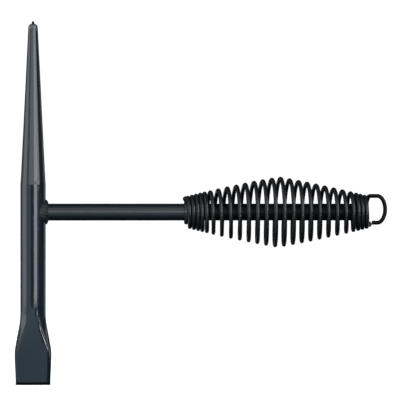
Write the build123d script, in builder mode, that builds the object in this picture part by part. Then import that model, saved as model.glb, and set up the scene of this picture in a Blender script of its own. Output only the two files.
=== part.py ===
"""Chipping hammer: a forged head with a point and a chisel, on a round rod that carries a barrel spring as its grip.

Frame: the origin is the middle of the chisel's cutting edge. +Z runs up the head to the point,
+X runs from the head along the handle, and Y is across the blade's thin side. Sizes are in millimetres.
"""

from build123d import *
import os
from math import acos, cos, degrees, pi, radians, sin, tan

# ---------------------------------------------------------------- driving sizes
# Head, from the cutting edge at height 0 up to the point.
HEAD_LENGTH = 213.5
HANDLE_HEIGHT = 101.4
BODY_ACROSS = 14.9
BODY_BOTTOM = 52.0
BODY_TOP = 117.5
SHOULDER_HEIGHT = 2.5
POINT_BASE_ACROSS = 14.5
POINT_TIP_ACROSS = 5.7
CORNER_SHARE = 0.07
NOSE_HEIGHT = 4.0
NOSE_LAND_ACROSS = 3.6
NOSE_PIP_HEIGHT = 1.9
NOSE_PIP_DIAMETER = 2.2
NOSE_DOME_DIAMETER = 1.2

# Chisel end.
EDGE_WIDTH = 20.4
EDGE_THICKNESS = 0.8
EDGE_BEVEL_HEIGHT = 1.6
EDGE_BEVEL_DEPTH = 0.7
BLADE_WIDTH = 21.6
BLADE_HEIGHT = 17.5
BLADE_BEVEL = 1.5
FLARE_TOP = 42.0
FLARE_STATIONS = 6

# Rod that runs from the head to the rear of the grip, and the weld that holds it.
ROD_DIAMETER = 10.0
ROD_SEAT_DEPTH = 11.0
ROD_END_CHAMFER = 0.8
ROD_REAR_RECESS = 1.6
SEAT_CLEARANCE = 0.05
WELD_HEIGHT = 16.6
WELD_WIDTH = 14.2
WELD_LEG_ON_ROD = 1.8
WELD_REACH_ON_BEVEL = 4.0
WELD_THROAT = 0.6

# Grip spring, wound from one wire, and the loop that its tail forms.
SHANK_LENGTH = 82.2
SPRING_LENGTH = 109.2
WIRE_DIAMETER = 2.4
END_COIL_OUTER = 19.4
MIDDLE_COIL_OUTER = 42.4
BARREL_BULGE = 0.05
CLOSE_COIL_GAP = 0.07
FRONT_CLOSE_TURNS = 3.6
REAR_CLOSE_TURNS = 2.4
OPENING_TURNS = 2.6
FULL_TURNS = 25
COIL_LEAN = 1.0
POINTS_PER_TURN = 12
TAIL_BEND = 3.0
LOOP_HEIGHT = 18.2
LOOP_DEPTH = 9.9
LOOP_NOSE = 4.6
LOOP_RISE = 1.6
LOOP_END_GAP = 0.9
BEND_FULLNESS = 0.7

# Collars that centre the end coils on the rod, and the tacks that fix them.
COLLAR_LENGTH = 8.0
COLLAR_CHAMFER = 0.4
COLLAR_CLEARANCE = 0.05
COLLAR_NOSE = 0.8
TACK_DIAMETER = 3.6
TACK_LIFT = 0.4
FRONT_TACK_ANGLE = 84
REAR_TACK_ANGLE = 250

# ---------------------------------------------------------------- derived sizes
SIDES = 8
BODY_HALF = BODY_ACROSS / 2
FACET_HALF = BODY_HALF * tan(pi / SIDES)
NOSE_BASE = HEAD_LENGTH - NOSE_HEIGHT
ROD_RADIUS = ROD_DIAMETER / 2
SEAT_FLOOR = BODY_HALF - ROD_SEAT_DEPTH
SPRING_FRONT = BODY_HALF + SHANK_LENGTH
SPRING_REAR = SPRING_FRONT + SPRING_LENGTH
ROD_REAR = SPRING_REAR - ROD_REAR_RECESS
WIRE_RADIUS = WIRE_DIAMETER / 2
END_COIL_RADIUS = END_COIL_OUTER / 2 - WIRE_RADIUS
MIDDLE_COIL_RADIUS = MIDDLE_COIL_OUTER / 2 - WIRE_RADIUS
COLLAR_RADIUS = END_COIL_RADIUS - WIRE_RADIUS - COLLAR_CLEARANCE
# The wire starts at the top, and its last coil stops where the tail's bend can end at the top.
START_ANGLE = 90
TAIL_ANGLE = degrees(acos(TAIL_BEND / END_COIL_RADIUS))
TURNS = FULL_TURNS - (START_ANGLE - TAIL_ANGLE) / 360


def across_handle(distance):
    """The plane across the handle at a distance from the head's axis, centred on the rod, with Z as its second axis."""
    return Plane(origin=(distance, 0, HANDLE_HEIGHT), x_dir=(0, 1, 0), z_dir=(1, 0, 0))


def ease(share):
    """Goes from 0 to 1 with a level start and a level finish."""
    share = min(max(share, 0.0), 1.0)
    return share * share * (3 - 2 * share)


def between(start, end, share):
    return start + (end - start) * share


# ---------------------------------------------------------------- head
def blade_half_width(height):
    """Half the blade's width, which shrinks from its shoulders to the edge and to the bar."""
    if height <= BLADE_HEIGHT:
        return between(EDGE_WIDTH, BLADE_WIDTH, ease(height / BLADE_HEIGHT)) / 2
    flare = ease((height - BLADE_HEIGHT) / (FLARE_TOP - BLADE_HEIGHT))
    return between(BLADE_WIDTH, BODY_ACROSS, flare) / 2


def blade_half_thickness(height):
    """Half the blade's thickness: a wedge that eases into the bar, with a steeper bevel at the edge."""
    wedge_start = EDGE_THICKNESS / 2 + EDGE_BEVEL_DEPTH
    if height <= EDGE_BEVEL_HEIGHT:
        return between(EDGE_THICKNESS / 2, wedge_start, height / EDGE_BEVEL_HEIGHT)
    share = (height - EDGE_BEVEL_HEIGHT) / (BODY_BOTTOM - EDGE_BEVEL_HEIGHT)
    return between(wedge_start, BODY_HALF, sin(share * pi / 2))


def bar_section(height, across):
    """The bar's octagon, with rounded corners and two flats facing the handle's direction."""
    with BuildSketch(Plane.XY.offset(height)) as section:
        RegularPolygon(radius=across / 2, side_count=SIDES, major_radius=False, rotation=180 / SIDES)
        fillet(section.vertices(), radius=across * CORNER_SHARE)
    return section.sketch


def blade_section(height):
    """The octagon as it is drawn out into the blade: broad flats, and bevels that shrink on the way down."""
    width = blade_half_width(height)
    thickness = blade_half_thickness(height)
    flare = ease((height - BLADE_HEIGHT) / (FLARE_TOP - BLADE_HEIGHT))
    flat = width - between(BLADE_BEVEL, BODY_HALF - FACET_HALF, flare)
    side = thickness * FACET_HALF / BODY_HALF
    with BuildSketch(Plane.XY.offset(height)) as section:
        Polygon(
            (flat, thickness), (-flat, thickness), (-width, side), (-width, -side),
            (-flat, -thickness), (flat, -thickness), (width, -side), (width, side),
            align=None,
        )
        fillet(section.vertices(), radius=2 * thickness * CORNER_SHARE)
    return section.sketch


def make_head():
    pip_foot = HEAD_LENGTH - NOSE_PIP_HEIGHT
    dome_radius = NOSE_DOME_DIAMETER / 2
    bar = [
        bar_section(BODY_BOTTOM, BODY_ACROSS),
        bar_section(BODY_TOP, BODY_ACROSS),
        bar_section(BODY_TOP + SHOULDER_HEIGHT, POINT_BASE_ACROSS),
        bar_section(NOSE_BASE, POINT_TIP_ACROSS),
        bar_section(pip_foot, NOSE_LAND_ACROSS),
    ]
    flare = [between(BLADE_HEIGHT, FLARE_TOP, station / FLARE_STATIONS) for station in range(FLARE_STATIONS + 1)]
    blade_heights = [0, EDGE_BEVEL_HEIGHT, (EDGE_BEVEL_HEIGHT + BLADE_HEIGHT) / 2, *flare, BODY_BOTTOM]
    with BuildPart() as head:
        loft(bar, ruled=True)
        loft([blade_section(height) for height in blade_heights], ruled=True)
        with BuildSketch(Plane.XZ):
            with BuildLine():
                Line((0, pip_foot), (NOSE_PIP_DIAMETER / 2, pip_foot))
                Line((NOSE_PIP_DIAMETER / 2, pip_foot), (dome_radius, HEAD_LENGTH - dome_radius))
                CenterArc((0, HEAD_LENGTH - dome_radius), dome_radius, 0, 90)
                Line((0, HEAD_LENGTH), (0, pip_foot))
            make_face()
        revolve(axis=Axis.Z)
        with BuildSketch(across_handle(BODY_HALF)):
            Circle(ROD_RADIUS + SEAT_CLEARANCE)
        extrude(amount=-ROD_SEAT_DEPTH, mode=Mode.SUBTRACT)
    return head


# ---------------------------------------------------------------- rod and its weld
def make_handle_rod():
    with BuildPart() as rod:
        with BuildSketch(across_handle(SEAT_FLOOR)):
            Circle(ROD_RADIUS)
        extrude(amount=ROD_REAR - SEAT_FLOOR)
        chamfer(rod.faces().sort_by(Axis.X)[-1].edges(), length=ROD_END_CHAMFER)
    return rod


def make_head_weld(head, rod):
    """A fillet of weld round the rod, which fills the corner down to the head's bevels."""
    with BuildPart() as weld:
        with BuildSketch(across_handle(BODY_HALF - WELD_REACH_ON_BEVEL)):
            Ellipse(WELD_WIDTH / 2, WELD_HEIGHT / 2)
        with BuildSketch(across_handle(BODY_HALF + WELD_THROAT)):
            Ellipse(ROD_RADIUS + WELD_LEG_ON_ROD, WELD_HEIGHT / 2 - WELD_THROAT)
        with BuildSketch(across_handle(BODY_HALF + WELD_LEG_ON_ROD)):
            Circle(ROD_RADIUS + WELD_THROAT)
        loft(ruled=True)
        add(head.part, mode=Mode.SUBTRACT)
        with BuildSketch(across_handle(SEAT_FLOOR)):
            Circle(ROD_RADIUS + SEAT_CLEARANCE)
        extrude(amount=BODY_HALF - SEAT_FLOOR, mode=Mode.SUBTRACT)
        add(rod.part, mode=Mode.SUBTRACT)
    return weld


# ---------------------------------------------------------------- grip spring
def openness(turn):
    """How far the coils are open at a turn: 0 where they lie close, 1 along the middle."""
    front = ease((turn - FRONT_CLOSE_TURNS) / OPENING_TURNS)
    rear = ease((TURNS - REAR_CLOSE_TURNS - turn) / OPENING_TURNS)
    return front * rear


def coil_radius(share):
    """The wire centre's distance from the axis along the barrel: two cones that bulge a little."""
    rise = 1 - abs(2 * share - 1)
    return between(END_COIL_RADIUS, MIDDLE_COIL_RADIUS, rise + BARREL_BULGE * sin(pi * rise))


def spring_points():
    """Points along the wire's centre, with coils that lie close at both ends and lean a little at the top."""
    steps = round(TURNS * POINTS_PER_TURN)
    turn_step = TURNS / steps
    opened = [0]
    for step in range(steps):
        opened.append(opened[-1] + openness((step + 0.5) * turn_step) * turn_step)
    close_pitch = WIRE_DIAMETER + CLOSE_COIL_GAP
    travel = SPRING_LENGTH - WIRE_DIAMETER
    extra_pitch = (travel - TURNS * close_pitch) / opened[-1]
    points = []
    for step in range(steps + 1):
        along = step * turn_step * close_pitch + opened[step] * extra_pitch
        radius = coil_radius(along / travel)
        angle = radians(START_ANGLE + 360 * step * turn_step)
        up = radius * sin(angle)
        open_share = openness(step * turn_step)
        lean = up * tan(radians(COIL_LEAN)) * open_share
        points.append((SPRING_FRONT + WIRE_RADIUS + along + lean, radius * cos(angle), HANDLE_HEIGHT + up))
    return points


def make_grip_spring():
    with BuildPart() as spring:
        with BuildLine() as wire:
            Spline(*spring_points())
        with BuildSketch(Plane(origin=wire.line @ 0, z_dir=wire.line % 0)):
            Circle(WIRE_RADIUS)
        sweep(path=wire.wire(), is_frenet=True)
    return spring, wire.wire()


def make_hanging_loop(spring_wire):
    """The wire's tail: it bends rearward at the top of the last coil, turns down and comes back to the coil."""
    arc_height = (LOOP_HEIGHT - WIRE_DIAMETER) / 2
    arc_start = SPRING_REAR + LOOP_DEPTH - WIRE_RADIUS - LOOP_NOSE
    middle = HANDLE_HEIGHT + LOOP_RISE
    bow_start = SPRING_REAR + WIRE_RADIUS / 2
    tail_start = spring_wire @ 1
    tail_direction = spring_wire % 1
    bend_end = Vector(bow_start, 0, middle + arc_height)
    with BuildPart() as loop:
        with BuildLine(Plane.XZ) as bow:
            Line((bow_start, middle + arc_height), (arc_start, middle + arc_height))
            EllipticalCenterArc((arc_start, middle), LOOP_NOSE, arc_height, -90, arc_size=180)
            Line((arc_start, middle - arc_height), (SPRING_REAR + LOOP_END_GAP, middle - arc_height))
        with BuildLine() as tail:
            Bezier(
                tail_start,
                tail_start + tail_direction * TAIL_BEND * BEND_FULLNESS,
                bend_end - Vector(TAIL_BEND * BEND_FULLNESS, 0, 0),
                bend_end,
            )
            add(bow.line)
        with BuildSketch(Plane(origin=tail_start, z_dir=tail_direction)):
            Circle(WIRE_RADIUS)
        sweep(path=tail.wire())
    return loop


# ---------------------------------------------------------------- collars and tacks
def make_collar(start):
    """A bush that fills the gap between the rod and an end coil."""
    with BuildPart() as collar:
        with BuildSketch(across_handle(start)):
            Circle(COLLAR_RADIUS)
            Circle(ROD_RADIUS, mode=Mode.SUBTRACT)
        extrude(amount=COLLAR_LENGTH)
        rims = collar.edges().filter_by(GeomType.CIRCLE).sort_by(SortBy.RADIUS)[-2:]
        chamfer(rims, length=COLLAR_CHAMFER)
    return collar


def make_tack(distance, angle, *neighbours):
    """A bead of weld in the corner between an end coil and its collar, shaped round both."""
    spread = radians(angle)
    reach = COLLAR_RADIUS + TACK_LIFT
    centre = (distance, reach * cos(spread), HANDLE_HEIGHT + reach * sin(spread))
    with BuildPart() as tack:
        with Locations(centre):
            Sphere(TACK_DIAMETER / 2)
        for neighbour in neighbours:
            add(neighbour.part, mode=Mode.SUBTRACT)
    return tack


# ---------------------------------------------------------------- build and write the pieces
head = make_head()
handle_rod = make_handle_rod()
head_weld = make_head_weld(head, handle_rod)
grip_spring, spring_wire = make_grip_spring()
hanging_loop = make_hanging_loop(spring_wire)
front_collar = make_collar(SPRING_FRONT - COLLAR_NOSE)
rear_collar = make_collar(ROD_REAR - COLLAR_LENGTH)
front_tack = make_tack(SPRING_FRONT, FRONT_TACK_ANGLE, grip_spring, front_collar, handle_rod)
rear_tack = make_tack(SPRING_REAR - WIRE_RADIUS, REAR_TACK_ANGLE, grip_spring, rear_collar, handle_rod)

pieces = {
    "head": head,
    "handle_rod": handle_rod,
    "head_weld": head_weld,
    "grip_spring": grip_spring,
    "hanging_loop": hanging_loop,
    "front_collar": front_collar,
    "rear_collar": rear_collar,
    "front_tack_weld": front_tack,
    "rear_tack_weld": rear_tack,
}
os.makedirs("parts", exist_ok=True)
for name, piece in pieces.items():
    piece.part.label = name
    export_step(piece.part, f"parts/{name}.step")
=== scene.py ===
"""Looks of the chipping hammer: forged head, welded rod, spring grip and hanging loop, in a pale studio.

Lengths in the shape code are in millimetres and are turned into metres when a mesh is made.
"""

import bpy
import math
import numpy as np
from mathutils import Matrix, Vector, noise


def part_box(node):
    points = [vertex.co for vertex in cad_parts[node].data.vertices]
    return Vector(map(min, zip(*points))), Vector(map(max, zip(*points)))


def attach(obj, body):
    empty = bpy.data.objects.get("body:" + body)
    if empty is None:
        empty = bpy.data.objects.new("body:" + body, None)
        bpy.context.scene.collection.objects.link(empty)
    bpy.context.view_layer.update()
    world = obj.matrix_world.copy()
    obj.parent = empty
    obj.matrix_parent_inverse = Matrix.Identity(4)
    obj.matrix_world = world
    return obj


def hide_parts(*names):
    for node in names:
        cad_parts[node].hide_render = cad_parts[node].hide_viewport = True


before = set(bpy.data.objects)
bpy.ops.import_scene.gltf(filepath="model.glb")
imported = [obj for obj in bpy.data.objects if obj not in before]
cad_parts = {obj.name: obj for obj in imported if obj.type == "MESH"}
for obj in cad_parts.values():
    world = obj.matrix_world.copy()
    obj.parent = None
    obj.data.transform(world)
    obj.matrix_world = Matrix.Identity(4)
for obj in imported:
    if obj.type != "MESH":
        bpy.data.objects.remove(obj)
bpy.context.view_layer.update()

MM = 0.001


def box_mm(node):
    """(lowest corner, highest corner) of a CAD node in millimetres."""
    low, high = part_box(node)
    return np.array(low) / MM, np.array(high) / MM


# ---------------------------------------------------------------- sizes from the CAD nodes
_, head_high = box_mm("head")
rod_low, rod_high = box_mm("handle_rod")
weld_low, weld_high = box_mm("head_weld")
spring_low, spring_high = box_mm("grip_spring")
loop_low, loop_high = box_mm("hanging_loop")

SIDES = 8
HEAD_TOP = head_high[2]
BODY_HALF = head_high[1]
BLADE_HALF = head_high[0]
FACET_HALF = BODY_HALF * math.tan(math.pi / SIDES)
HANDLE_HEIGHT = (rod_low[2] + rod_high[2]) / 2
ROD_RADIUS = (rod_high[2] - rod_low[2]) / 2
WIRE_RADIUS = -loop_low[1]
SPRING_FRONT = spring_low[0]
SPRING_REAR = spring_high[0]
MIDDLE_COIL_RADIUS = 20.0

# ---------------------------------------------------------------- shape of the head, as the CAD has it
EDGE_HALF = 10.2
EDGE_HALF_THICKNESS = 0.4
EDGE_BEVEL_HEIGHT = 1.6
EDGE_BEVEL_DEPTH = 0.7
BLADE_HEIGHT = 17.5
BLADE_BEVEL = 1.5
FLARE_TOP = 42.0
BODY_BOTTOM = 52.0
BODY_TOP = 117.5
SHOULDER_HEIGHT = 2.5
POINT_BASE_HALF = 7.25
POINT_TIP_HALF = 2.85
NOSE_HEIGHT = 4.0
NOSE_LAND_HALF = 1.8
NOSE_PIP_HEIGHT = 1.9
NOSE_PIP_RADIUS = 1.1
NOSE_DOME_RADIUS = 0.6
# Each forged flat is crowned a little, and the corners are worn round.
CROWN_RADIUS = 2.6
CORNER_SHARPNESS = 42
DRESSED_SHARPNESS = 17

# ---------------------------------------------------------------- shape of the spring, as the CAD has it
END_COIL_RADIUS = 8.5
BARREL_BULGE = 0.05
CLOSE_PITCH = 2.47
FRONT_CLOSE_TURNS = 3.6
REAR_CLOSE_TURNS = 2.4
OPENING_TURNS = 2.6
FULL_TURNS = 25
COIL_LEAN = 1.0
TAIL_BEND = 3.0
LOOP_NOSE = 4.6
LOOP_RISE = 1.6
LOOP_END_GAP = 0.9
BEND_FULLNESS = 0.7
TURNS = FULL_TURNS - (90 - math.degrees(math.acos(TAIL_BEND / END_COIL_RADIUS))) / 360


def ease(share):
    share = min(max(share, 0.0), 1.0)
    return share * share * (3 - 2 * share)


def between(start, end, share):
    return start + (end - start) * share


def wobble(point, size, seed):
    """Smooth noise from -1 to 1 at a point, with features of that size in millimetres."""
    return noise.noise(Vector(point) / size + Vector((seed * 7.3, seed * 3.1, seed * 5.7)))


# ---------------------------------------------------------------- meshes
def make_piece(name, vertices, faces, body="root", wear=None):
    """A smooth mesh from points in millimetres, with how worn each point is."""
    mesh = bpy.data.meshes.new(name)
    mesh.from_pydata([tuple(float(c) * MM for c in v) for v in vertices], [], faces)
    mesh.validate()
    for polygon in mesh.polygons:
        polygon.use_smooth = True
    attribute = mesh.attributes.new("wear", "FLOAT", "POINT")
    if wear is not None:
        attribute.data.foreach_set("value", np.asarray(wear, np.float32))
    piece = bpy.data.objects.new(name, mesh)
    bpy.context.scene.collection.objects.link(piece)
    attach(piece, body)
    return piece


def skin(rings, closed_ends=True, ring_closes=False):
    """(vertices, faces) of a tube over rings of the same number of points."""
    count = len(rings[0])
    vertices = [point for ring in rings for point in ring]
    faces = []
    spans = len(rings) if ring_closes else len(rings) - 1
    for row in range(spans):
        start, after = row * count, ((row + 1) % len(rings)) * count
        for k in range(count):
            following = (k + 1) % count
            faces.append((start + k, start + following, after + following, after + k))
    if closed_ends and not ring_closes:
        for row, turned in ((0, True), (len(rings) - 1, False)):
            centre = len(vertices)
            ring = np.array(rings[row])
            vertices.append(tuple(ring.mean(axis=0)))
            for k in range(count):
                a, b = row * count + k, row * count + (k + 1) % count
                faces.append((centre, b, a) if turned else (centre, a, b))
    return vertices, faces


# ---------------------------------------------------------------- head
def blade_half_width(height):
    if height <= BLADE_HEIGHT:
        return between(EDGE_HALF, BLADE_HALF, ease(height / BLADE_HEIGHT))
    return between(BLADE_HALF, BODY_HALF, ease((height - BLADE_HEIGHT) / (FLARE_TOP - BLADE_HEIGHT)))


def blade_half_thickness(height):
    wedge_start = EDGE_HALF_THICKNESS + EDGE_BEVEL_DEPTH
    if height <= EDGE_BEVEL_HEIGHT:
        return between(EDGE_HALF_THICKNESS, wedge_start, height / EDGE_BEVEL_HEIGHT)
    share = (height - EDGE_BEVEL_HEIGHT) / (BODY_BOTTOM - EDGE_BEVEL_HEIGHT)
    return between(wedge_start, BODY_HALF, math.sin(share * math.pi / 2))


def bar_half(height):
    """Half the octagon's width across its flats, from the blade up to the tip."""
    shoulder = BODY_TOP + SHOULDER_HEIGHT
    nose = HEAD_TOP - NOSE_HEIGHT
    pip = HEAD_TOP - NOSE_PIP_HEIGHT
    heights = [0, BODY_TOP, shoulder, nose, nose + 1.1, pip, HEAD_TOP]
    halves = [
        BODY_HALF, BODY_HALF, POINT_BASE_HALF, POINT_TIP_HALF, POINT_TIP_HALF - 0.12,
        NOSE_LAND_HALF, NOSE_LAND_HALF,
    ]
    return float(np.interp(height, heights, halves))


def head_section(height):
    """(half width, half thickness, where the flat ends, where the side ends), the last two as shares."""
    shares = math.tan(math.pi / SIDES)
    if height >= BODY_BOTTOM:
        half = bar_half(height)
        return half, half, shares, shares
    width, thick = blade_half_width(height), blade_half_thickness(height)
    flare = ease((height - BLADE_HEIGHT) / (FLARE_TOP - BLADE_HEIGHT))
    flat = width - between(BLADE_BEVEL, BODY_HALF - FACET_HALF, flare)
    return width, thick, flat / width, shares


# Shares of the way from a corner to the middle of the side beside it; close together at the corner.
CORNER_STEPS = (0.0, 0.04, 0.09, 0.16, 0.27, 0.42, 0.6, 0.8)


def quarter_angles(flat_share, side_share):
    """Angles from the side's middle to the flat's middle, gathered at the two corners between them."""
    side_corner = math.atan2(side_share, 1.0)
    flat_corner = math.atan2(1.0, flat_share)
    middle = (side_corner + flat_corner) / 2
    angles = [0.0]
    for corner, below, above in ((side_corner, 0.0, middle), (flat_corner, middle, math.pi / 2)):
        angles += [between(corner, below, s) for s in reversed(CORNER_STEPS[1:])]
        angles += [corner] + [between(corner, above, s) for s in CORNER_STEPS[1:]]
        angles.append(above)
    return angles


def head_ring(height):
    """Points round the head at a height: eight crowned sides whose corners are rounded."""
    width, thick, flat_share, side_share = head_section(height)
    quarter = quarter_angles(flat_share, side_share)
    angles = list(quarter[:-1])
    angles += [math.pi - a for a in reversed(quarter)][:-1]
    angles += [a + math.pi for a in angles]
    angles = np.array(angles)
    directions = np.stack([np.cos(angles), np.sin(angles)], axis=1)
    bevel = np.array([1 - side_share, 1 - flat_share])
    bevel /= np.linalg.norm(bevel)
    bevel_reach = float(bevel @ np.array([1.0, side_share]))
    sides = [((1, 0), 1.0), ((0, 1), 1.0), ((-1, 0), 1.0), ((0, -1), 1.0)]
    sides += [((sx * bevel[0], sy * bevel[1]), bevel_reach) for sx in (1, -1) for sy in (1, -1)]
    # The crown fades out on the broad flats of the blade, which are struck flat.
    flatness = min(max((flat_share - 0.42) / 0.2, 0.0), 1.0)
    # The ridges beside the blade's flats are dressed back where they flare.
    dressed = ease((height - 19) / 6) * ease((38 - height) / 6)
    sharpness = between(CORNER_SHARPNESS, DRESSED_SHARPNESS, dressed)
    total = np.zeros(len(angles))
    for (nx, ny), reach in sides:
        normal = np.array([nx, ny])
        radius = CROWN_RADIUS * (1 + 6 * flatness)
        centre = -(radius - reach) * normal
        along = directions @ centre
        distance = along + np.sqrt(np.maximum(along ** 2 - centre @ centre + radius ** 2, 1e-9))
        facing = directions @ normal
        total += np.where(facing > 0.15, distance ** -sharpness, 0.0)
    reach = total ** (-1 / sharpness)
    return np.stack([reach * directions[:, 0] * width, reach * directions[:, 1] * thick], axis=1), angles


def head_heights():
    pip = HEAD_TOP - NOSE_PIP_HEIGHT
    nose = HEAD_TOP - NOSE_HEIGHT
    heights = [0, 0.12, 0.3, 0.6, 1.0, 1.4, 1.55, 1.6, 1.65, 1.8, 2.0, 2.5]
    heights += list(np.arange(3.2, 54, 0.7))
    heights += list(np.arange(55, 115, 2.0))
    heights += [115.5, 116.3, 116.9, 117.3, 117.5, 117.7, 118.1]
    heights += [118.7, 119.3, 119.7, 120.0, 120.3, 120.8, 121.6]
    heights += list(np.arange(123, nose - 1, 1.6))
    heights += [nose - 0.8, nose - 0.4, nose - 0.15, nose, nose + 0.15, nose + 0.5, nose + 1.0, nose + 1.6]
    heights += [pip - 0.12, pip]
    return [float(h) for h in heights]


def make_head():
    rings, wear = [], []
    for height in head_heights():
        points, angles = head_ring(height)
        _, _, flat_share, side_share = head_section(height)
        side_corner, flat_corner = math.atan2(side_share, 1.0), math.atan2(1.0, flat_share)
        ring = []
        for (x, y), angle in zip(points, angles):
            folded = abs(math.atan2(abs(math.sin(angle)), abs(math.cos(angle))))
            gap = min(abs(folded - side_corner), abs(folded - flat_corner))
            ridge = math.exp(-(gap / 0.035) ** 2)
            place = (x, y, height)
            # Hammered unevenness only takes metal away.
            dent = 0.5 + 0.5 * wobble(place, 9.0, 1)
            fine = 0.5 + 0.5 * wobble(place, 2.6, 2)
            depth = 0.04 * dent + 0.012 * fine
            nick = max(0.0, wobble(place, 3.2, 3) - 0.25) * ridge * 0.28
            edge_share = math.exp(-height / 1.2)
            tip_share = ease((height - (HEAD_TOP - 9)) / 7)
            depth = depth * min(1.0, height / 6) * (1 - 0.6 * tip_share) + nick * min(1.0, height / 2)
            length = math.hypot(x, y)
            scale = max(0.0, 1 - depth / max(length, 1e-6))
            ring.append((x * scale, y * scale, height))
            rubbed = 0.5 + 0.5 * wobble(place, 5.0, 4)
            worn = max(ridge * rubbed * 0.55, edge_share * 0.2, tip_share * (0.5 + 0.5 * rubbed))
            wear.append(min(1.0, worn))
        rings.append(ring)
    # Edge of the chisel: tiny dings from use, so the lowest ring isn't a ruled line.
    rings[0] = [
        (x, y, 0.0 if abs(x) > 9.0 else max(0.0, 0.10 * wobble((x, 0, 0), 1.7, 5))) for x, y, _ in rings[0]
    ]
    # The stub left at the point: a small round pip on the land.
    pip = HEAD_TOP - NOSE_PIP_HEIGHT
    _, angles = head_ring(pip)
    dome = HEAD_TOP - NOSE_DOME_RADIUS
    profile = [(NOSE_PIP_RADIUS + 0.12, pip + 0.02), (NOSE_PIP_RADIUS, pip + 0.12)]
    for share in (0.35, 0.7, 1.0):
        profile.append((between(NOSE_PIP_RADIUS, NOSE_DOME_RADIUS, share), between(pip, dome, share)))
    for degrees in (25, 45, 65, 80):
        turn = math.radians(degrees)
        profile.append((NOSE_DOME_RADIUS * math.cos(turn), dome + NOSE_DOME_RADIUS * math.sin(turn)))
    for radius, height in profile:
        ring = []
        for angle in angles:
            c, s = math.cos(angle), math.sin(angle)
            lump = 1 - 0.10 * (0.5 + 0.5 * wobble((radius * c, radius * s, height), 0.8, 6))
            ring.append((radius * lump * c, radius * lump * s, height))
            wear.append(0.2)
        rings.append(ring)
    vertices, faces = skin(rings)
    low = np.array(rings[0]).mean(axis=0)
    vertices[-2] = (0.0, 0.0, low[2])
    vertices[-1] = (0.0, 0.0, HEAD_TOP)
    wear += [0.2, 0.2]
    return make_piece("forged_head", vertices, faces, wear=wear)


# ---------------------------------------------------------------- rod and weld
def make_rod():
    """The rod as drawn bar: very slightly uneven, with broken edges at both ends."""
    count = 64
    chamfer = 0.8
    start, end = rod_low[0], rod_high[0]
    stations = [(start, ROD_RADIUS - 0.3), (start + 0.3, ROD_RADIUS)]
    stations += [(float(x), ROD_RADIUS) for x in np.arange(start + 2, end - chamfer - 0.5, 1.5)]
    stations += [(end - chamfer, ROD_RADIUS), (end - chamfer + 0.1, ROD_RADIUS - 0.06)]
    stations.append((end, ROD_RADIUS - chamfer))
    rings, wear = [], []
    for x, radius in stations:
        ring = []
        for k in range(count):
            angle = 2 * math.pi * k / count
            y, z = math.cos(angle), math.sin(angle)
            drawn = 0.008 * (0.5 + 0.5 * wobble((x / 6, y * 4, z * 4), 1.6, 11))
            uneven = 0.012 * (0.5 + 0.5 * wobble((x, y * 5, z * 5), 7.0, 12))
            r = radius - drawn - uneven
            ring.append((x, r * y, HANDLE_HEIGHT + r * z))
            wear.append(0.25 * max(0.0, wobble((x, y * 5, z * 5), 4.0, 13)))
        rings.append(ring)
    vertices, faces = skin(rings)
    wear += [0.6, 0.6]
    return make_piece("drawn_rod", vertices, faces, wear=wear)


def head_side(y):
    """How far the head reaches along the handle at a place across it."""
    return BODY_HALF - max(0.0, abs(y) - FACET_HALF)


def make_weld():
    """A fillet bead round the rod: ripples left by the weld pool, and toes that lie on the head's bevels."""
    around, across = 168, 13
    half_wide, half_high = weld_high[1], (weld_high[2] - weld_low[2]) / 2
    rod_end = weld_high[0]
    rings, wear = [], []
    for k in range(around):
        angle = 2 * math.pi * k / around
        c, s = math.cos(angle), math.sin(angle)
        rough = wobble((c * 6, s * 6, 0), 2.4, 21)
        toe_scale = 1 - 0.05 * (1 + rough)
        toe_y, toe_z = half_wide * toe_scale * c, half_high * toe_scale * s
        toe = np.array([head_side(toe_y) - 0.35, toe_y, toe_z])
        rod_x = rod_end - 0.25 * (1 + wobble((c * 6, s * 6, 3), 2.0, 22))
        crown = np.array([rod_x, (ROD_RADIUS - 0.1) * c, (ROD_RADIUS - 0.1) * s])
        ring = []
        for j in range(across):
            t = j / (across - 1)
            point = toe * (1 - t) + crown * t
            bulge = math.sin(math.pi * t)
            out = np.array([0.72, 0.7 * c, 0.7 * s])
            ripple_phase = angle * 23 + 2.2 * math.cos(math.pi * t)
            ripple = 0.5 + 0.5 * math.sin(ripple_phase + 1.4 * rough)
            lump = wobble((point[0], point[1], point[2]), 1.8, 23)
            point = point + out * bulge * (0.38 + 0.2 * ripple + 0.2 * lump)
            ring.append((point[0], point[1], HANDLE_HEIGHT + point[2]))
            wear.append(0.2 * ripple * bulge)
        # The bead's back lies inside the head and the rod.
        inner = ROD_RADIUS - 0.6
        ring.append((rod_x - 0.6, inner * c, HANDLE_HEIGHT + inner * s))
        ring.append((weld_low[0], inner * c, HANDLE_HEIGHT + inner * s))
        wear += [0.0, 0.0]
        rings.append(ring)
    vertices, faces = skin(rings, closed_ends=False, ring_closes=True)
    return make_piece("head_weld_bead", vertices, faces, wear=wear)


# ---------------------------------------------------------------- wire
def sweep(points, radius_at, around, first_side):
    """Rings round a path. The ring's first point keeps to one side with the least turning."""
    points = np.array(points, float)
    tangents = np.gradient(points, axis=0)
    tangents /= np.linalg.norm(tangents, axis=1)[:, None]
    side = np.array(first_side, float)
    rings = []
    for k, (point, tangent) in enumerate(zip(points, tangents)):
        side = side - tangent * (side @ tangent)
        side /= np.linalg.norm(side)
        other = np.cross(tangent, side)
        ring = []
        for j in range(around):
            angle = 2 * math.pi * j / around
            r = radius_at(k, angle)
            ring.append(tuple(point + r * (math.cos(angle) * side + math.sin(angle) * other)))
        rings.append(ring)
    return rings


def openness(turn):
    front = ease((turn - FRONT_CLOSE_TURNS) / OPENING_TURNS)
    rear = ease((TURNS - REAR_CLOSE_TURNS - turn) / OPENING_TURNS)
    return front * rear


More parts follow.
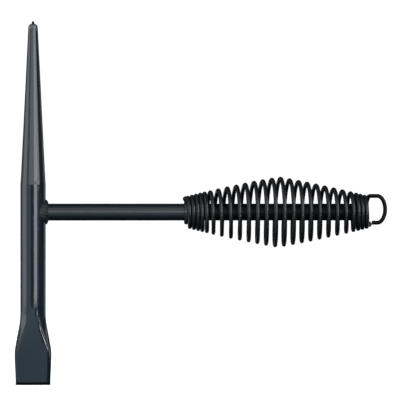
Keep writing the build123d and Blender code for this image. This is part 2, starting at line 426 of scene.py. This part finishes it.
def coil_radius(share):
    rise = 1 - abs(2 * share - 1)
    return between(END_COIL_RADIUS, MIDDLE_COIL_RADIUS, rise + BARREL_BULGE * math.sin(math.pi * rise))


def spring_path(per_turn):
    """The wire's centre line. The coils are a little uneven where they are open, as hand-bent wire is."""
    steps = round(TURNS * per_turn)
    turn_step = TURNS / steps
    opened = [0.0]
    for step in range(steps):
        opened.append(opened[-1] + openness((step + 0.5) * turn_step) * turn_step)
    travel = SPRING_REAR - SPRING_FRONT - 2 * WIRE_RADIUS
    extra_pitch = (travel - TURNS * CLOSE_PITCH) / opened[-1]
    path = []
    for step in range(steps + 1):
        turn = step * turn_step
        along = turn * CLOSE_PITCH + opened[step] * extra_pitch
        open_share = openness(turn)
        uneven = open_share * wobble((turn * 0.83, 0, 0), 1.0, 31)
        shrink = 0.16 * (0.5 + 0.5 * wobble((turn * 0.71, 4, 0), 1.0, 32)) * open_share
        radius = coil_radius(along / travel) - shrink
        angle = math.radians(90 + 360 * turn)
        up = radius * math.sin(angle)
        lean = up * math.tan(math.radians(COIL_LEAN)) * open_share
        x = SPRING_FRONT + WIRE_RADIUS + along + lean + 0.22 * uneven
        path.append((x, radius * math.cos(angle), HANDLE_HEIGHT + up))
    return path


def wire_radius(k, angle):
    """Wire with faint die marks along it."""
    place = (math.cos(angle) * 3, math.sin(angle) * 3, k * 0.02)
    return WIRE_RADIUS - 0.012 * (0.5 + 0.5 * wobble(place, 0.8, 33))


def cap_wire(rings, path):
    """Rings with a smaller one on each end face, so that the cut edge stays crisp."""
    def shrunk(ring, centre):
        centre, ring = np.array(centre), np.array(ring)
        return [tuple(centre + (p - centre) * 0.9) for p in ring]
    return [shrunk(rings[0], path[0])] + rings + [shrunk(rings[-1], path[-1])]


def make_spring():
    per_turn, around = 48, 20
    path = spring_path(per_turn)
    rings = sweep(path, wire_radius, around, (1, 0, 0))
    rings = cap_wire(rings, path)
    wear = []
    for ring in rings:
        for x, y, z in ring:
            out = math.hypot(y, z - HANDLE_HEIGHT)
            rub = max(0.0, wobble((x, y, z), 6.0, 34)) * 0.7
            wear.append(min(1.0, rub * ease((out - 12) / 9)))
    vertices, faces = skin(rings)
    wear += [0.8, 0.8]
    return make_piece("coiled_grip_wire", vertices, faces, wear=wear), path


def loop_path(spring_points):
    arc_height = (loop_high[2] - loop_low[2]) / 2 - WIRE_RADIUS
    arc_start = loop_high[0] - WIRE_RADIUS - LOOP_NOSE
    middle = HANDLE_HEIGHT + LOOP_RISE
    bow_start = SPRING_REAR + WIRE_RADIUS / 2
    start = np.array(spring_points[-1])
    direction = np.array(spring_points[-1]) - np.array(spring_points[-2])
    direction /= np.linalg.norm(direction)
    end = np.array([bow_start, 0, middle + arc_height])
    near = start + direction * TAIL_BEND * BEND_FULLNESS
    far = end - np.array([TAIL_BEND * BEND_FULLNESS, 0, 0])
    path = []
    for t in np.linspace(0, 1, 26)[:-1]:
        u = 1 - t
        path.append(u ** 3 * start + 3 * u ** 2 * t * near + 3 * u * t ** 2 * far + t ** 3 * end)
    for x in np.linspace(bow_start, arc_start, 10)[:-1]:
        path.append(np.array([x, 0, middle + arc_height]))
    for turn in np.linspace(math.pi / 2, -math.pi / 2, 56)[:-1]:
        x, z = arc_start + LOOP_NOSE * math.cos(turn), middle + arc_height * math.sin(turn)
        path.append(np.array([x, 0, z]))
    for x in np.linspace(arc_start, SPRING_REAR + LOOP_END_GAP, 12):
        path.append(np.array([x, 0, middle - arc_height]))
    return [tuple(p) for p in path]


def make_loop(spring_points):
    path = loop_path(spring_points)
    rings = sweep(path, wire_radius, 22, (1, 0, 0))
    rings = cap_wire(rings, path)
    wear = []
    for k, ring in enumerate(rings):
        end_share = ease((k - (len(rings) - 6)) / 5)
        for p in ring:
            inside = max(0.0, wobble(p, 3.0, 41)) * 0.6
            wear.append(min(1.0, inside + end_share))
    vertices, faces = skin(rings)
    wear += [0.0, 1.0]
    return make_piece("hanging_loop_wire", vertices, faces, wear=wear)


def make_tack(name, node, seed):
    """A blob of weld metal, with the shallow rings that it froze with."""
    low, high = box_mm(node)
    centre, half = (low + high) / 2, (high - low) / 2
    rows, columns = 22, 36
    rings, wear = [], []
    for row in range(1, rows):
        lift = math.pi * row / rows
        ring = []
        for column in range(columns):
            turn = 2 * math.pi * column / columns
            d = np.array([math.sin(lift) * math.cos(turn), math.sin(lift) * math.sin(turn), -math.cos(lift)])
            lump = wobble(d * 3, 1.5, seed)
            ring_mark = 0.035 * math.sin(lift * 15)
            r = 0.93 + 0.07 * lump + ring_mark
            ring.append(tuple(centre + half * d * min(r, 1.0)))
            wear.append(0.3)
        rings.append(ring)
    vertices, faces = skin(rings)
    vertices[-2] = tuple(centre + half * np.array([0, 0, -0.95]))
    vertices[-1] = tuple(centre + half * np.array([0, 0, 0.95]))
    wear += [0.3, 0.3]
    return make_piece(name, vertices, faces, wear=wear)


# ---------------------------------------------------------------- materials
class Nodes:
    """Short calls for building a node tree."""

    def __init__(self, tree):
        self.tree = tree
        tree.nodes.clear()

    def add(self, kind, **settings):
        node = self.tree.nodes.new(kind)
        for name, value in settings.items():
            setattr(node, name, value)
        return node

    def link(self, source, target):
        self.tree.links.new(source, target)

    def put(self, socket, value):
        if isinstance(value, bpy.types.NodeSocket):
            self.link(value, socket)
        else:
            socket.default_value = value

    def math(self, operation, first, second=None, third=None, clamp=False):
        node = self.add("ShaderNodeMath", operation=operation, use_clamp=clamp)
        for socket, value in zip(node.inputs, (first, second, third)):
            if value is not None:
                self.put(socket, value)
        return node.outputs[0]

    def noise(self, where, scale, detail=3.0, roughness=0.5, distortion=0.0):
        node = self.add("ShaderNodeTexNoise")
        self.put(node.inputs["Vector"], where)
        self.put(node.inputs["Scale"], scale)
        self.put(node.inputs["Detail"], detail)
        self.put(node.inputs["Roughness"], roughness)
        self.put(node.inputs["Distortion"], distortion)
        return node.outputs["Fac"]

    def fit(self, value, low, high, out_low, out_high, smooth=False):
        node = self.add("ShaderNodeMapRange", interpolation_type="SMOOTHSTEP" if smooth else "LINEAR")
        for socket, item in zip(node.inputs, (value, low, high, out_low, out_high)):
            self.put(socket, item)
        return node.outputs[0]

    def ramp(self, share, stops):
        node = self.add("ShaderNodeValToRGB")
        elements = node.color_ramp.elements
        while len(elements) > 1:
            elements.remove(elements[-1])
        elements[0].position, elements[0].color = stops[0][0], (*stops[0][1], 1)
        for position, colour in stops[1:]:
            elements.new(position).color = (*colour, 1)
        self.put(node.inputs[0], share)
        return node.outputs[0]

    def mix(self, share, first, second, blend="MIX"):
        node = self.add("ShaderNodeMix", data_type="RGBA", blend_type=blend)
        self.put(node.inputs["Factor"], share)
        for socket, value in ((node.inputs[6], first), (node.inputs[7], second)):
            self.put(socket, value if isinstance(value, bpy.types.NodeSocket) else (*value, 1))
        return node.outputs[2]


def paint(name, dark, light, gloss, worn, peel=0.5, lumps=0.5, speck=0.35, stretch=(1, 1, 1), shine=0.5):
    """Black-blue enamel over steel: tone that drifts, orange peel, fine specks and rubbed places."""
    material = bpy.data.materials.new(name)
    material.use_nodes = True
    n = Nodes(material.node_tree)
    output = n.add("ShaderNodeOutputMaterial")
    shader = n.add("ShaderNodeBsdfPrincipled")
    n.link(shader.outputs[0], output.inputs[0])
    shader.inputs["Specular IOR Level"].default_value = shine
    coordinates = n.add("ShaderNodeTexCoord").outputs["Object"]
    mapping = n.add("ShaderNodeMapping")
    mapping.inputs["Scale"].default_value = stretch
    n.link(coordinates, mapping.inputs["Vector"])
    where = mapping.outputs[0]
    wear = n.add("ShaderNodeAttribute", attribute_name="wear").outputs["Fac"]

    drift = n.noise(where, 55, 4, 0.6, 0.4)
    grain = n.noise(where, 900, 3, 0.6)
    specks = n.noise(where, 2400, 2, 0.7)
    blend = n.math("ADD", n.math("MULTIPLY", drift, 0.75), n.math("MULTIPLY", grain, 0.25))
    tone = n.fit(blend, 0.36, 0.64, 0, 1)
    colour = n.mix(tone, dark, light)
    dust = n.fit(specks, 0.62, 0.74, 0, speck)
    colour = n.mix(dust, colour, tuple(c * 2.4 + 0.008 for c in light))
    patch = n.noise(where, 420, 4, 0.7)
    ragged = n.math("MULTIPLY", n.math("SUBTRACT", patch, 0.5), 1.1)
    rubbed = n.fit(n.math("ADD", wear, ragged), 0.42, 0.62, 0, 1)
    colour = n.mix(rubbed, colour, worn)
    n.link(colour, shader.inputs["Base Color"])

    rough = n.fit(n.noise(where, 130, 4, 0.65), 0.3, 0.7, gloss[0], gloss[1])
    rough = n.math("ADD", rough, n.math("MULTIPLY", rubbed, 0.16), clamp=True)
    n.link(rough, shader.inputs["Roughness"])
    n.link(n.math("MULTIPLY", rubbed, 0.55), shader.inputs["Metallic"])

    fine = n.add("ShaderNodeBump")
    fine.inputs["Strength"].default_value = peel
    fine.inputs["Distance"].default_value = 0.00003
    n.link(n.noise(where, 1100, 3, 0.55), fine.inputs["Height"])
    broad = n.add("ShaderNodeBump")
    broad.inputs["Strength"].default_value = lumps
    broad.inputs["Distance"].default_value = 0.00012
    n.link(n.noise(where, 210, 3, 0.5, 0.3), broad.inputs["Height"])
    n.link(fine.outputs[0], broad.inputs["Normal"])
    n.link(broad.outputs[0], shader.inputs["Normal"])
    return material


def wear_paint(piece, material):
    piece.data.materials.clear()
    piece.data.materials.append(material)
    return piece


def add_second_paint(piece, material, covers):
    """A second paint on the faces whose middle, in millimetres, passes the test."""
    piece.data.materials.append(material)
    for polygon in piece.data.polygons:
        if covers(polygon.center / MM):
            polygon.material_index = 1


head_paint = paint(
    "head_enamel", dark=(0.0035, 0.006, 0.0085), light=(0.0055, 0.0095, 0.014), gloss=(0.07, 0.12),
    worn=(0.10, 0.105, 0.11), peel=0.2, lumps=0.12,
)
rod_paint = paint(
    "rod_enamel", dark=(0.0045, 0.006, 0.008), light=(0.0065, 0.0085, 0.0115), gloss=(0.2, 0.28),
    worn=(0.05, 0.052, 0.055), peel=0.2, lumps=0.1, stretch=(0.25, 1, 1),
)
spring_paint = paint(
    "spring_enamel", dark=(0.0035, 0.0035, 0.004), light=(0.006, 0.006, 0.007), gloss=(0.2, 0.32),
    worn=(0.03, 0.03, 0.031), peel=0.4, lumps=0.2, speck=0.2, shine=0.36,
)
weld_paint = paint(
    "weld_enamel", dark=(0.004, 0.005, 0.0065), light=(0.008, 0.0095, 0.012), gloss=(0.3, 0.5),
    worn=(0.03, 0.032, 0.035), peel=0.9, lumps=0.8, shine=0.2,
)

edge_paint = paint(
    "edge_enamel", dark=(0.001, 0.0015, 0.002), light=(0.002, 0.0025, 0.003), gloss=(0.3, 0.4),
    worn=(0.01, 0.01, 0.011), peel=0.4, lumps=0.2, speck=0.1, shine=0.08,
)
# Painted shade for the rod inside the coils: a darker enamel with less shine.
coil_shade_paint = paint(
    "coil_painted_shade_enamel", dark=(0.0015, 0.002, 0.0025), light=(0.0025, 0.003, 0.0035), gloss=(0.25, 0.35),
    worn=(0.02, 0.021, 0.022), peel=0.3, lumps=0.1, speck=0.2, stretch=(0.25, 1, 1), shine=0.12,
)
loop_paint = paint(
    "loop_enamel", dark=(0.001, 0.001, 0.0012), light=(0.002, 0.002, 0.0022), gloss=(0.25, 0.35),
    worn=(0.015, 0.015, 0.016), peel=0.4, lumps=0.2, speck=0.1, shine=0.08,
)

# ---------------------------------------------------------------- pieces
forged_head = wear_paint(make_head(), head_paint)
# The bevel at the chisel's edge and the pip at the point are near black.
PIP_FOOT = HEAD_TOP - NOSE_PIP_HEIGHT
add_second_paint(forged_head, edge_paint, lambda p: p.z < EDGE_BEVEL_HEIGHT or p.z > PIP_FOOT)
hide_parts("head")

drawn_rod = wear_paint(make_rod(), rod_paint)
# Painted shade: the rod is darker inside the coils, and more matt there, from behind the close-wound ends.
SHADE_END_MARGIN = 6
add_second_paint(drawn_rod, coil_shade_paint, lambda p: SPRING_FRONT + SHADE_END_MARGIN < p.x < SPRING_REAR - SHADE_END_MARGIN)
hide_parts("handle_rod")

weld_bead = wear_paint(make_weld(), weld_paint)
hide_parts("head_weld")

grip_wire, wire_points = make_spring()
wear_paint(grip_wire, spring_paint)
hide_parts("grip_spring")

loop_wire = wear_paint(make_loop(wire_points), loop_paint)
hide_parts("hanging_loop")

TACKS = (("front_tack_bead", "front_tack_weld", 51), ("rear_tack_bead", "rear_tack_weld", 52))
for tack_name, tack_node, tack_seed in TACKS:
    bead = wear_paint(make_tack(tack_name, tack_node, tack_seed), weld_paint)
    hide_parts(tack_node)

for collar in ("front_collar", "rear_collar"):
    wear_paint(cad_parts[collar], rod_paint)

# ---------------------------------------------------------------- floor
floor_half = 4.0
floor_mesh = bpy.data.meshes.new("studio_floor")
floor_z = -0.0002
floor_mesh.from_pydata(
    [(-floor_half, -floor_half, floor_z), (floor_half, -floor_half, floor_z),
     (floor_half, floor_half, floor_z), (-floor_half, floor_half, floor_z)],
    [], [(0, 1, 2, 3)],
)
studio_floor = bpy.data.objects.new("studio_floor", floor_mesh)
bpy.context.scene.collection.objects.link(studio_floor)
floor_material = bpy.data.materials.new("pale_floor")
floor_material.use_nodes = True
floor_nodes = Nodes(floor_material.node_tree)
floor_output = floor_nodes.add("ShaderNodeOutputMaterial")
floor_shader = floor_nodes.add("ShaderNodeBsdfPrincipled")
floor_shader.inputs["Base Color"].default_value = (0.85, 0.85, 0.85, 1)
floor_shader.inputs["Roughness"].default_value = 0.9
floor_shader.inputs["Specular IOR Level"].default_value = 0.0
floor_shader.inputs["Emission Color"].default_value = (1, 1, 1, 1)
floor_shader.inputs["Emission Strength"].default_value = 0.62
floor_nodes.link(floor_shader.outputs[0], floor_output.inputs[0])
floor_mesh.materials.append(floor_material)
# The object is lit by the studio alone: the floor shows, but gives no light, reflection or shadow to it.
studio_floor.visible_diffuse = False
studio_floor.visible_glossy = False
studio_floor.visible_shadow = False

# ---------------------------------------------------------------- studio light
world = bpy.data.worlds.new("studio")
bpy.context.scene.world = world
world.use_nodes = True
w = Nodes(world.node_tree)
world_output = w.add("ShaderNodeOutputWorld")
direction = w.add("ShaderNodeSeparateXYZ")
w.link(w.add("ShaderNodeTexCoord").outputs["Generated"], direction.inputs[0])
toward_camera = w.math("MULTIPLY", direction.outputs["Y"], -1.0)
azimuth = w.math("DEGREES", w.math("ARCTAN2", direction.outputs["X"], toward_camera))
elevation = w.math("DEGREES", w.math("ARCSINE", direction.outputs["Z"]))


def soft_edge(value, edge, softness):
    return w.fit(value, edge - softness, edge + softness, 0.0, 1.0, smooth=True)


def soft_span(value, start, end, softness):
    """1 between two angles and 0 outside them, with soft edges."""
    before_end = w.math("SUBTRACT", 1.0, soft_edge(value, end, softness))
    return w.math("MULTIPLY", soft_edge(value, start, softness), before_end)


def softbox(left, right, bottom, top, level, side_soft=3.0, end_soft=2.0):
    """A soft rectangle of light seen from the object, in degrees of azimuth and elevation."""
    across, upright = soft_span(azimuth, left, right, side_soft), soft_span(elevation, bottom, top, end_soft)
    return w.math("MULTIPLY", w.math("MULTIPLY", across, upright), level)


def angle_stop(degrees, low, high):
    return (degrees - low) / (high - low)


def dimmed(level, share):
    """The level with that share of it taken away."""
    return w.math("MULTIPLY", level, w.math("SUBTRACT", 1.0, share))


def grey_ramp(share, low, high, stops):
    return w.ramp(share, [(angle_stop(degrees, low, high), (level,) * 3) for degrees, level in stops])


# A plain room: dark floor, paler walls, brightest round the front, and dark behind the object.
turn_share = w.fit(azimuth, -180, 180, 0, 1)
height_share = w.fit(elevation, -90, 90, 0, 1)
ROOM_LEVEL = 1.4
room_height = grey_ramp(height_share, -90, 90, [
    (-90, 0.02), (-60, 0.1), (-35, 0.5), (-10, 0.85), (10, 0.85), (45, 0.9), (75, 0.2), (90, 0.15),
])
room_turn = grey_ramp(turn_share, -180, 180, [
    (-180, 0.03), (-145, 0.05), (-90, 0.7), (0, 0.9), (40, 0.6), (75, 0.1), (145, 0.05), (180, 0.03),
])
room = w.math("MULTIPLY", w.math("MULTIPLY", room_height, room_turn), ROOM_LEVEL)
# Two dark cards: one round the camera, one low on the right.
for card in (softbox(-10, 4, -6, 3, 0.85, 1.5, 1.5), softbox(7, 100, -40, -4, 0.9, 2, 2)):
    room = dimmed(room, card)
tint = w.ramp(height_share, [
    (angle_stop(degrees, -90, 90), colour) for degrees, colour in (
        (-90, (0.7, 0.85, 1.0)), (-12, (0.62, 0.83, 1.0)), (4, (0.8, 0.91, 1.0)), (90, (0.92, 0.96, 1.0)),
    )
])
base_light = w.mix(1.0, room, tint, blend="MULTIPLY")
panels = (
    softbox(4, 22, -5, 10, 4.6, 1.5, 2),  # key
    softbox(20, 75, 3, 40, 3.6, 3, 2),  # upper right
    softbox(-98, -76, -5, 20, 1.6, 4, 3),  # left
    softbox(-30, 4, 3, 14, 1.3, 6, 2),  # front fill
    softbox(103, 116, -8, 20, 1.6, 3, 3),  # right rear
    softbox(19, 36, -13.5, -8.8, 18.0, 2, 1),  # low lamp
    softbox(-158, -130, -24, -8, 1.4, 4, 3),  # back, on both sides
    softbox(130, 158, -24, -8, 1.4, 4, 3),
)
panel_light = panels[0]
for panel in panels[1:]:
    panel_light = w.math("ADD", panel_light, panel)
panel_colour = w.add("ShaderNodeCombineColor")
for channel, tint in zip(panel_colour.inputs, (0.96, 1.0, 1.05)):
    w.link(w.math("MULTIPLY", panel_light, tint), channel)
lit = w.add("ShaderNodeBackground")
base_scaled = w.add("ShaderNodeVectorMath", operation="SCALE")
w.link(base_light, base_scaled.inputs[0])
base_scaled.inputs["Scale"].default_value = 1.18
total_light = w.add("ShaderNodeVectorMath", operation="ADD")
w.link(base_scaled.outputs[0], total_light.inputs[0])
w.link(panel_colour.outputs[0], total_light.inputs[1])
w.link(total_light.outputs[0], lit.inputs["Color"])
seen = w.add("ShaderNodeBackground")
seen.inputs["Color"].default_value = (1, 1, 1, 1)
seen.inputs["Strength"].default_value = 1.05
switch = w.add("ShaderNodeMixShader")
w.link(w.add("ShaderNodeLightPath").outputs["Is Camera Ray"], switch.inputs[0])
w.link(lit.outputs[0], switch.inputs[1])
w.link(seen.outputs[0], switch.inputs[2])
w.link(switch.outputs[0], world_output.inputs[0])
world.cycles.sampling_method = "MANUAL"
world.cycles.sample_map_resolution = 2048

overhead = bpy.data.lights.new("overhead_softbox", "AREA")
overhead.shape = "RECTANGLE"
overhead.size, overhead.size_y = 1.2, 0.8
overhead.energy = 6.0
overhead_object = bpy.data.objects.new("overhead_softbox", overhead)
overhead_object.location = (0.1, 0.1, 1.6)
overhead_object.visible_camera = False
overhead_object.visible_glossy = False
bpy.context.scene.collection.objects.link(overhead_object)

# ---------------------------------------------------------------- camera
VIEW_WIDTH = 0.2353
AIM = Vector((0.0981, 0.0, 0.1085))
DISTANCE = 2.0
YAW = math.radians(3.5)
camera = bpy.data.cameras.new("camera")
camera.sensor_width = 36
camera.lens = camera.sensor_width * DISTANCE / VIEW_WIDTH
camera_object = bpy.data.objects.new("camera", camera)
camera_object.location = AIM + Vector((-math.sin(YAW), -math.cos(YAW), 0)) * DISTANCE
camera_object.rotation_mode = "QUATERNION"
camera_object.rotation_quaternion = (AIM - camera_object.location).to_track_quat("-Z", "Y")
camera.clip_start = 0.01
bpy.context.scene.collection.objects.link(camera_object)
bpy.context.scene.camera = camera_object
bpy.context.scene.view_settings.view_transform = "Standard"

# ---------------------------------------------------------------- update the scene
bpy.context.view_layer.update()
